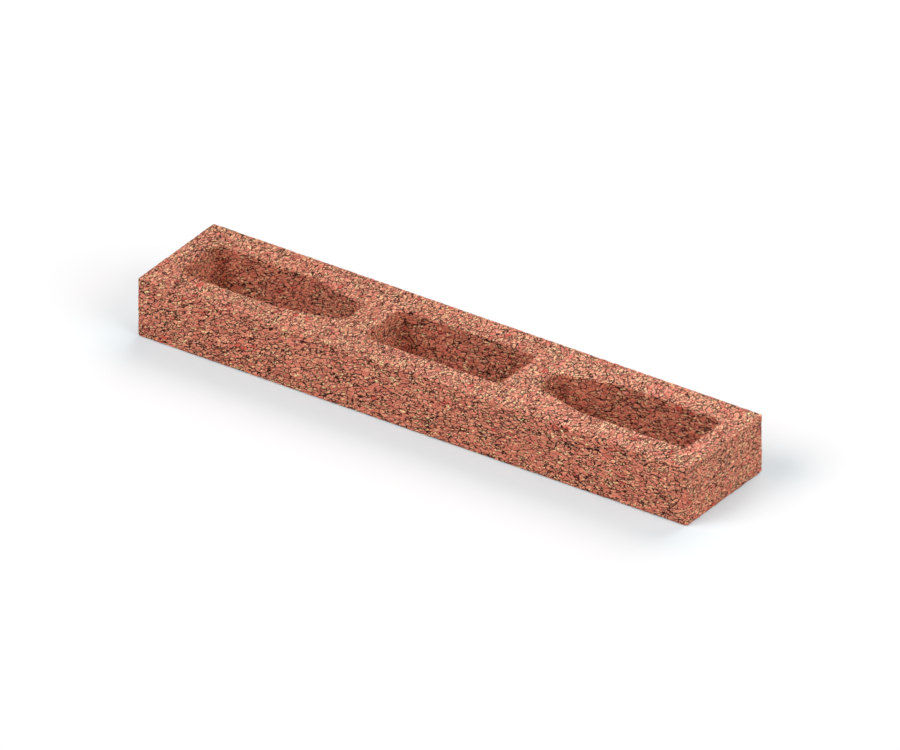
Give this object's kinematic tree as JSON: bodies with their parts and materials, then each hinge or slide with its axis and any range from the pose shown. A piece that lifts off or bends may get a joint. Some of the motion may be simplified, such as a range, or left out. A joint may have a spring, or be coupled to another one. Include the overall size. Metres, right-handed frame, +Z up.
{
  "type": "perforated clay brick",
  "caption": "Long, slim fired clay brick with straight faces and core holes running through it from bed to bed, for laying in masonry.",
  "frame": {"origin": "centre of the lower bed face, level with the surface that the brick lies on", "axes": "+X along the brick's length, +Y across its width, +Z up through the cores from bed face to bed face"},
  "size_m": [0.5, 0.1, 0.05],
  "materials": {
    "fired_clay": "matte"
  },
  "bodies": {
    "root": {"brick": "fired_clay"}
  },
  "joints": []
}
